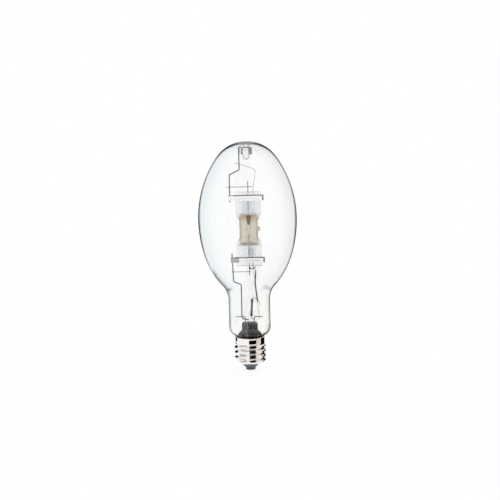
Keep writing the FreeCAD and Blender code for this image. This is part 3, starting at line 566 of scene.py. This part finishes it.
# %% [markdown]
# ## Give each solid its finish
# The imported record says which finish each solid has, under the name of its material slot, so the solids
# need no list of their own here.

# %% Give each solid its finish
for solid in nodes.values():
    for holder in solid.material_slots:
        holder.material = finishes[holder.material.name.split(".")[0]]

# %% [markdown]
# ## Pieces that follow a rule
# A screw thread and a coil follow a rule, so Geometry Nodes make them. Such a tree takes its sizes as named
# inputs, which are set on the modifier by each input's identifier. The tree's result is then kept as a
# plain mesh, because the finished piece has to work without its modifier.

# %% Run a tree and keep its mesh
def rule_tree(name, sizes):
    """A new tree for meshes, with a mesh and the named sizes as its inputs."""
    tree = bpy.data.node_groups.new(name, "GeometryNodeTree")
    tree.interface.new_socket("Mesh", in_out="INPUT", socket_type="NodeSocketGeometry")
    for size in sizes:
        tree.interface.new_socket(size, in_out="INPUT", socket_type="NodeSocketFloat")
    tree.interface.new_socket("Finish", in_out="INPUT", socket_type="NodeSocketMaterial")
    tree.interface.new_socket("Mesh", in_out="OUTPUT", socket_type="NodeSocketGeometry")
    graph = Graph(tree)
    entry = tree.nodes.new("NodeGroupInput")
    given = {socket.name: Wire(graph, socket) for socket in entry.outputs if socket.name}
    return graph, given


def end_tree(graph, shape, finish):
    """Joins what repeats into one mesh and gives it its finish."""
    smooth = graph.node("GeometryNodeSetShadeSmooth", None, {"Geometry": shape})
    whole = graph.node("GeometryNodeRealizeInstances", None, {"Geometry": smooth})
    finished = graph.node("GeometryNodeSetMaterial", None, {"Geometry": whole, "Material": finish})
    graph.node("NodeGroupOutput", None, {0: finished})


def grown(name, graph, start, values):
    """The plain mesh object that a tree makes from a start mesh and values for its inputs."""
    carrier = bpy.data.objects.new(name, start)
    bpy.context.scene.collection.objects.link(carrier)
    modifier = carrier.modifiers.new(name, "NODES")
    modifier.node_group = graph.tree
    for item in graph.tree.interface.items_tree:
        if item.in_out == "INPUT" and item.name in values:
            modifier[item.identifier] = values[item.name]
    seen = bpy.context.evaluated_depsgraph_get()
    mesh = bpy.data.meshes.new_from_object(carrier.evaluated_get(seen), depsgraph=seen)
    carrier.modifiers.remove(modifier)
    carrier.data = mesh
    print(name, "has", len(mesh.polygons), "faces")
    return carrier


# %% [markdown]
# ## Thread of the screw shell
# The shell starts as a closed outline of the sheet: under the dome, up the outside, over the rim and down
# the inside. The tree spins that outline round the axis. Where the outline is marked, it also pushes the
# sheet out by the height of a knuckle thread, whose crests climb one pitch in each turn.

# %% Outline of the screw shell
PITCH = 6.35
THREAD_DEPTH = 1.8
MINOR_R = 17.9
COLLAR_R = 18.4
SHELL_WALL = 0.7
DOME_HOLE_R = 10.4
DOME_Z = 8.2
DOME_RISE = 2.4
DOME_WIDTH = 6.8
SHELL_TOP = 42.0
CREST_AT_RIGHT = 12.5
THREAD_IN = (10.8, 12.6)
THREAD_OUT = (32.2, 34.6)
BARREL_STEP = 0.25
DOME_STEPS = 16


def smooth_step(value, low, high):
    share = min(max((value - low) / (high - low), 0.0), 1.0)
    return share * share * (3 - 2 * share)


def shell_side(inset):
    """Points (radius, height, grip) up one face of the sheet, from the dome's hole to the rim."""
    dome_r = (DOME_WIDTH ** 2 + DOME_RISE ** 2) / (2 * DOME_RISE)
    turn = math.atan2(DOME_WIDTH, dome_r - DOME_RISE)
    points = []
    reach = dome_r - inset
    for step in range(DOME_STEPS + 1):
        angle = turn * step / DOME_STEPS
        r = DOME_HOLE_R + reach * math.sin(angle)
        points.append((r, DOME_Z + dome_r - reach * math.cos(angle), 0.0))
    foot_r, foot_z, _ = points[-1]
    rows = round((SHELL_TOP - foot_z) / BARREL_STEP)
    for row in range(1, rows + 1):
        z = foot_z + (SHELL_TOP - foot_z) * row / rows
        into_barrel = smooth_step(z, foot_z, THREAD_IN[1])
        into_collar = smooth_step(z, THREAD_OUT[0], THREAD_OUT[1] + 0.8)
        r = foot_r + (MINOR_R - inset - foot_r) * into_barrel + (COLLAR_R - MINOR_R) * into_collar
        grip = smooth_step(z, *THREAD_IN) * (1 - smooth_step(z, *THREAD_OUT))
        points.append((r, z, grip))
    return points


outline = shell_side(0.0) + shell_side(SHELL_WALL)[::-1]
outline_mesh = bpy.data.meshes.new("shell_outline")
outline_edges = [(i, (i + 1) % len(outline)) for i in range(len(outline))]
outline_mesh.from_pydata([(r * MM, 0.0, z * MM) for r, z, _ in outline], outline_edges, [])
grips = outline_mesh.attributes.new("grip", "FLOAT", "POINT")
grips.data.foreach_set("value", [grip for _, _, grip in outline])
print("outline of the shell:", len(outline), "points")

# %% [markdown]
# The height of the thread comes from two equal arcs, one for the crest and one for the root. With the
# distance `off` from the nearest crest, the arc of the crest is `depth - R + sqrt(R*R - off*off)`, and past
# a quarter of the pitch the arc of the root takes over, which is the same curve upside down.

# %% Thread of the screw shell
AROUND = 192
graph, given = rule_tree("rolled_thread", ["Pitch", "Depth", "Crest height"])
outline_count = graph.node(
    "GeometryNodeAttributeDomainSize", {"component": "MESH"}, {"Geometry": given["Mesh"]}, "Point Count"
)
grid = graph.node("GeometryNodeMeshGrid", None, {
    "Size X": 1.0, "Size Y": 1.0, "Vertices X": AROUND + 1, "Vertices Y": outline_count + 1,
})
spot = graph.node("GeometryNodeInputPosition")
across = graph.node("ShaderNodeSeparateXYZ", None, {0: spot}, "X") + 0.5
along = graph.node("ShaderNodeSeparateXYZ", None, {0: spot}, "Y") + 0.5
row = (along * outline_count).math("ROUND").math("MODULO", outline_count)
sampled = {}
for data_type, reading in (
    ("FLOAT_VECTOR", graph.node("GeometryNodeInputPosition")),
    ("FLOAT", graph.node("GeometryNodeInputNamedAttribute", {"data_type": "FLOAT"}, {"Name": "grip"})),
):
    sampled[data_type] = graph.node(
        "GeometryNodeSampleIndex", {"data_type": data_type},
        {"Geometry": given["Mesh"], "Value": reading, "Index": row},
    )
radius = graph.node("ShaderNodeSeparateXYZ", None, {0: sampled["FLOAT_VECTOR"]}, "X")
height = graph.node("ShaderNodeSeparateXYZ", None, {0: sampled["FLOAT_VECTOR"]}, "Z")
turns = across.math("MODULO", 1.0)
pitch = given["Pitch"]
depth = given["Depth"]
quarter = pitch / 4
knuckle = (quarter * quarter + depth * depth / 4) / depth
phase = ((height - given["Crest height"]) / pitch - turns + 0.5).math("FLOORED_MODULO", 1.0) - 0.5
off = abs(phase) * pitch
crest = depth - knuckle + (knuckle * knuckle - off * off).math("MAXIMUM", 0.0) ** 0.5
root_off = pitch / 2 - off
root = knuckle - (knuckle * knuckle - root_off * root_off).math("MAXIMUM", 0.0) ** 0.5
on_crest = off < quarter
rise = crest * on_crest + root * (1 - on_crest)
reach = radius + rise * sampled["FLOAT"]
angle = turns * (2 * math.pi)
place = graph.node("ShaderNodeCombineXYZ", None, {
    "X": reach * angle.math("COSINE"), "Y": reach * angle.math("SINE"), "Z": height,
})
spun = graph.node("GeometryNodeSetPosition", None, {"Geometry": grid, "Position": place})
closed = graph.node("GeometryNodeMergeByDistance", None, {"Geometry": spun, "Distance": 1e-6})
end_tree(graph, closed, given["Finish"])

thread = grown("threaded_shell", graph, outline_mesh, {
    "Pitch": PITCH * MM, "Depth": THREAD_DEPTH * MM, "Crest height": CREST_AT_RIGHT * MM,
    "Finish": finishes["plated_brass"],
})
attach(thread, "lamp")
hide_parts("screw_shell")

# %% [markdown]
# ## Coils on the electrodes
# A few close turns of tungsten wire sit on each electrode and keep its tip cool. The solids have plain rings
# there. Here the wire is a true coil: a spiral of one radius, swept by a small circle and closed at its ends.

# %% Coils on the electrodes
ELECTRODE_R = 0.55
COIL_WIRE_R = 0.41
COIL_PITCH = 0.85
COIL_TURNS = 5.5
COIL_START = 7.6
COIL_SEAT = 0.02
graph, given = rule_tree("close_coil", ["Radius", "Wire radius", "Height", "Turns", "Start"])
spiral = graph.node("GeometryNodeCurveSpiral", None, {
    "Resolution": 28, "Rotations": given["Turns"], "Start Radius": given["Radius"],
    "End Radius": given["Radius"], "Height": given["Height"],
})
wire = graph.node("GeometryNodeCurvePrimitiveCircle", None, {
    "Resolution": 14, "Radius": given["Wire radius"],
})
swept = graph.node("GeometryNodeCurveToMesh", None, {
    "Curve": spiral, "Profile Curve": wire, "Fill Caps": True,
})
lift = graph.node("ShaderNodeCombineXYZ", None, {"X": TUBE_X * MM, "Z": given["Start"]})
raised = graph.node("GeometryNodeTransform", None, {"Geometry": swept, "Translation": lift})
end_tree(graph, raised, given["Finish"])

coil_height = COIL_PITCH * COIL_TURNS
coil_away = COIL_START + COIL_WIRE_R + COIL_SEAT
coil_feet = {"upper": LIGHT_Z + coil_away, "lower": LIGHT_Z - coil_away - coil_height}
for end, start_z in coil_feet.items():
    coil = grown(end + "_coil", graph, bpy.data.meshes.new(end + "_coil_start"), {
        "Radius": (ELECTRODE_R + COIL_WIRE_R + COIL_SEAT) * MM, "Wire radius": COIL_WIRE_R * MM,
        "Height": coil_height * MM, "Turns": COIL_TURNS, "Start": start_z * MM,
        "Finish": finishes["tungsten"],
    })
    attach(coil, "lamp")
    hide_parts(end + "_electrode_coil")

# %% [markdown]
# ## Floor and light
# The photograph has a white surround and no shadow to speak of. The world is white for the camera and for
# everything it lights, and the floor is white with only a trace of the lamp's soft shadow. What shiny
# surfaces mirror is tinted, cool on the left and warm on the right, as in a studio with a window.

# %% Floor and light
world = bpy.data.worlds.new("studio")
world.use_nodes = True
world.node_tree.nodes.clear()
sky = Graph(world.node_tree)
way = sky.node("ShaderNodeTexCoord", out="Generated")
side = sky.node("ShaderNodeSeparateXYZ", None, {0: way}, "X")
mirrored_sky = sky.node(
    "ShaderNodeMix", {"data_type": "RGBA"},
    {0: side.rise(-0.8, 0.8), 6: (0.95, 0.95, 0.96), 7: (0.93, 0.90, 0.85)}, 2,
)
glossy = sky.node("ShaderNodeLightPath", out="Is Glossy Ray")
seen_sky = sky.node("ShaderNodeMix", {"data_type": "RGBA"}, {0: glossy, 6: WHITE, 7: mirrored_sky}, 2)
background = sky.node("ShaderNodeBackground", None, {"Color": seen_sky, "Strength": 1.0})
sky.node("ShaderNodeOutputWorld", None, {"Surface": background})
bpy.context.scene.world = world

FLOOR_REACH = 6.0
FLOOR_Z = -0.0005
SHADOW_SHARE = 0.12


def stage_piece(name, corners, faces, finish):
    """A piece of the studio, which isn't part of the lamp."""
    mesh = bpy.data.meshes.new(name)
    mesh.from_pydata(corners, [], faces)
    mesh.materials.append(finish)
    piece = bpy.data.objects.new(name, mesh)
    bpy.context.scene.collection.objects.link(piece)
    return piece


def floor_white():
    f = Finish("floor_white")
    plain = f.node("ShaderNodeBsdfDiffuse", None, {"Color": WHITE})
    glow = f.node("ShaderNodeEmission", None, {"Color": WHITE, "Strength": 1.0})
    return f.done(f.blend(SHADOW_SHARE, glow, plain))


def card_finish(name, colour):
    f = Finish(name)
    return f.done(f.node("ShaderNodeBsdfDiffuse", None, {"Color": colour}))


floor = stage_piece("floor", [
    (-FLOOR_REACH, -FLOOR_REACH, FLOOR_Z), (FLOOR_REACH, -FLOOR_REACH, FLOOR_Z),
    (FLOOR_REACH, FLOOR_REACH, FLOOR_Z), (-FLOOR_REACH, FLOOR_REACH, FLOOR_Z),
], [(0, 1, 2, 3)], floor_white())

# %% [markdown]
# Black cards stand round the cap, and only mirrors see them. The eye looks down on the cap by some twelve
# degrees, so the straight collar mirrors the floor at a distance: a band in front of it gives the patch on
# the collar. The upper flanks of the thread mirror the wall and the roof behind that band. Half of what they
# mirror comes by way of the next flank, from the low card and the floor. The cards at the sides darken both
# edges, and a beige one warms the plate right of the patches.
# All cards follow circles round the lamp, so that each patch keeps the same width from turn to turn.
# Their places were found by trial against the photograph. The real room is not known.

# %% Cards that only mirrors see
CARD_STEPS = 8
BLACK = card_finish("card_black", (0.004, 0.003, 0.003))
BEIGE = card_finish("card_beige", (0.70, 0.67, 0.60))


def card(name, one, other, start, end, finish=BLACK):
    """A card round the lamp between two edges, each a radius and a height in mm.

    It runs from one bearing to another, in degrees to the right of the camera.
    """
    corners = []
    for step in range(CARD_STEPS + 1):
        bearing = math.radians(start + (end - start) * step / CARD_STEPS)
        for radius, height in (one, other):
            spot = (radius * math.sin(bearing), -radius * math.cos(bearing), height)
            corners.append([value * MM for value in spot])
    faces = [(2 * i, 2 * i + 1, 2 * i + 3, 2 * i + 2) for i in range(CARD_STEPS)]
    piece = stage_piece(name, corners, faces, finish)
    piece.visible_camera = False
    piece.visible_diffuse = False
    piece.visible_transmission = False
    piece.visible_shadow = False


FRONT = (-8.0, 38.0)
FRONT_R = 181.0
FRONT_NEAR = 40.0
ROOF_Z = 48.0
card("front_low", (FRONT_NEAR, 0.0), (FRONT_NEAR, 17.0), *FRONT)
card("front_band", (FRONT_NEAR, 30.7), (FRONT_NEAR, 35.5), *FRONT)
card("front_floor", (110.0, 0.2), (FRONT_R, 0.2), *FRONT)
card("front_foot", (FRONT_R, 0.0), (FRONT_R, 4.6), *FRONT)
card("front_wall", (FRONT_R, 6.5), (FRONT_R, ROOF_Z), *FRONT)
card("front_roof", (FRONT_R, ROOF_Z), (9.0, ROOF_Z), *FRONT)
card("left_low", (FRONT_NEAR, 0.0), (FRONT_NEAR, 15.0), -73.0, -26.0)
card("left_foot", (110.0, 0.0), (110.0, 15.0), -172.0, -138.0)
card("left_wall", (110.0, 15.0), (110.0, 90.0), -176.0, -115.0)
card("right_floor", (22.0, 0.2), (60.0, 0.2), 98.0, 134.0)
card("right_wall", (60.0, 0.0), (60.0, 50.0), 77.0, 133.0)
card("right_beige", (60.0, 0.2), (400.0, 0.2), 41.0, 78.0, BEIGE)
